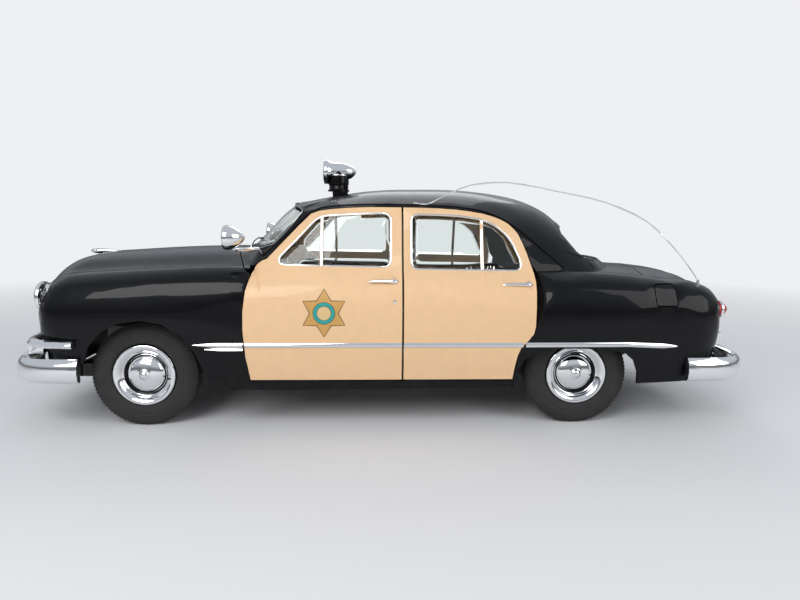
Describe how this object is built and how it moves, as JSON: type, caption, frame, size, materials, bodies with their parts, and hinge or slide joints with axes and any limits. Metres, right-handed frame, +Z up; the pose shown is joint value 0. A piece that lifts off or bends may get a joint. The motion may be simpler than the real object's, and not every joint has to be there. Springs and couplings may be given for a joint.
{
  "type": "police patrol car",
  "caption": "Four-door patrol saloon with opening doors, bonnet and boot lid, steered front wheels, roof siren, spotlights and a whip aerial.",
  "frame": {"origin": "on the ground under the middle of the overall length, on the centre plane", "axes": "+X towards the rear of the car (the nose points along -X), +Y towards the right-hand side, +Z up"},
  "size_m": [4.994, 1.8904, 1.827],
  "materials": {
    "black_paint": "gloss",
    "cream_paint": "gloss",
    "chrome": "mirror polish",
    "window_glass": "clear",
    "tyre": "matte",
    "chassis_steel": "satin black",
    "upholstery": "woven",
    "interior_paint": "semi gloss",
    "tail_lens": "gloss",
    "lamp_glass": "clear",
    "black_plastic": "gloss"
  },
  "bodies": {
    "body": {"antenna": "chrome", "chassis_frame": "chassis_steel", "cowl": "black_paint", "dashboard": "interior_paint", "engine": "chassis_steel", "floor_pan": "interior_paint", "front_axle": "chassis_steel", "front_bumper": "chrome", "front_fender_l": "black_paint", "front_fender_r": "black_paint", "front_seat": "upholstery", "front_valance": "black_paint", "grille": "chrome", "headlight_l": "lamp_glass", "headlight_r": "lamp_glass", "quarter_l": "black_paint", "quarter_r": "black_paint", "rear_axle": "chassis_steel", "rear_bumper": "chrome", "rear_deck": "black_paint", "rear_seat": "upholstery", "rear_valance": "black_paint", "rear_window": "window_glass", "roof_shell": "black_paint", "sill_l": "black_paint", "sill_r": "black_paint", "siren": "chrome", "spotlight_l": "chrome", "spotlight_r": "chrome", "steering_wheel": "black_plastic", "taillight_l": "tail_lens", "taillight_r": "tail_lens", "windshield": "window_glass"},
    "hood": {"hood": "black_paint"},
    "fuel_door": {"fuel_door": "black_paint"},
    "trunk_lid": {"trunk_lid": "black_paint"},
    "knuckle_l": {"knuckle_l": "chassis_steel"},
    "knuckle_r": {"knuckle_r": "chassis_steel"},
    "door_fl": {"door_fl": "cream_paint", "glass_fl": "window_glass"},
    "wheel_fl": {"tyre_fl": "tyre", "wheel_fl": "black_paint"},
    "door_fr": {"door_fr": "cream_paint", "glass_fr": "window_glass"},
    "wheel_fr": {"tyre_fr": "tyre", "wheel_fr": "black_paint"},
    "door_rl": {"door_rl": "cream_paint", "glass_rl": "window_glass"},
    "wheel_rl": {"tyre_rl": "tyre", "wheel_rl": "black_paint"},
    "door_rr": {"door_rr": "cream_paint", "glass_rr": "window_glass"},
    "wheel_rr": {"tyre_rr": "tyre", "wheel_rr": "black_paint"}
  },
  "joints": [
    {"name": "door_fl_hinge", "type": "hinge", "parent": "body", "child": "door_fl", "pos_m": [-0.93453, -0.925, 0.78003], "axis": [0, -0.1867, -0.9824], "range_deg": [0, 65]},
    {"name": "door_rl_hinge", "type": "hinge", "parent": "body", "child": "door_rl", "pos_m": [0.09746, -0.925, 0.78003], "axis": [0, -0.1867, -0.9824], "range_deg": [0, 65]},
    {"name": "door_fr_hinge", "type": "hinge", "parent": "body", "child": "door_fr", "pos_m": [-0.93453, 0.925, 0.78003], "axis": [0, -0.1867, 0.9824], "range_deg": [0, 65]},
    {"name": "door_rr_hinge", "type": "hinge", "parent": "body", "child": "door_rr", "pos_m": [0.09746, 0.925, 0.78003], "axis": [0, -0.1867, 0.9824], "range_deg": [0, 65]},
    {"name": "hood_hinge", "type": "hinge", "parent": "body", "child": "hood", "pos_m": [-0.869, 0, 1.13], "axis": [0, 1, 0], "range_deg": [0, 45]},
    {"name": "trunk_hinge", "type": "hinge", "parent": "body", "child": "trunk_lid", "pos_m": [1.711, 0, 1.02], "axis": [0, -1, 0], "range_deg": [0, 60]},
    {"name": "fuel_door_hinge", "type": "hinge", "parent": "body", "child": "fuel_door", "pos_m": [1.83457, -0.81638, 0.96788], "axis": [-1, 0, 0], "range_deg": [0, 80]},
    {"name": "steer_l", "type": "hinge", "parent": "body", "child": "knuckle_l", "pos_m": [-1.617, -0.56, 0.347], "axis": [0, 0, 1], "range_deg": [-28, 28]},
    {"name": "steer_r", "type": "hinge", "parent": "body", "child": "knuckle_r", "pos_m": [-1.617, 0.56, 0.347], "axis": [0, 0, 1], "range_deg": [-28, 28]},
    {"name": "spin_fl", "type": "hinge", "parent": "knuckle_l", "child": "wheel_fl", "pos_m": [-1.617, -0.711, 0.347], "axis": [0, 1, 0], "continuous": true},
    {"name": "spin_rl", "type": "hinge", "parent": "body", "child": "wheel_rl", "pos_m": [1.279, -0.711, 0.347], "axis": [0, 1, 0], "continuous": true},
    {"name": "spin_fr", "type": "hinge", "parent": "knuckle_r", "child": "wheel_fr", "pos_m": [-1.617, 0.711, 0.347], "axis": [0, 1, 0], "continuous": true},
    {"name": "spin_rr", "type": "hinge", "parent": "body", "child": "wheel_rr", "pos_m": [1.279, 0.711, 0.347], "axis": [0, 1, 0], "continuous": true}
  ],
  "couplings": [
    {"joint": "steer_r", "follows": "steer_l", "ratio": 1}
  ]
}
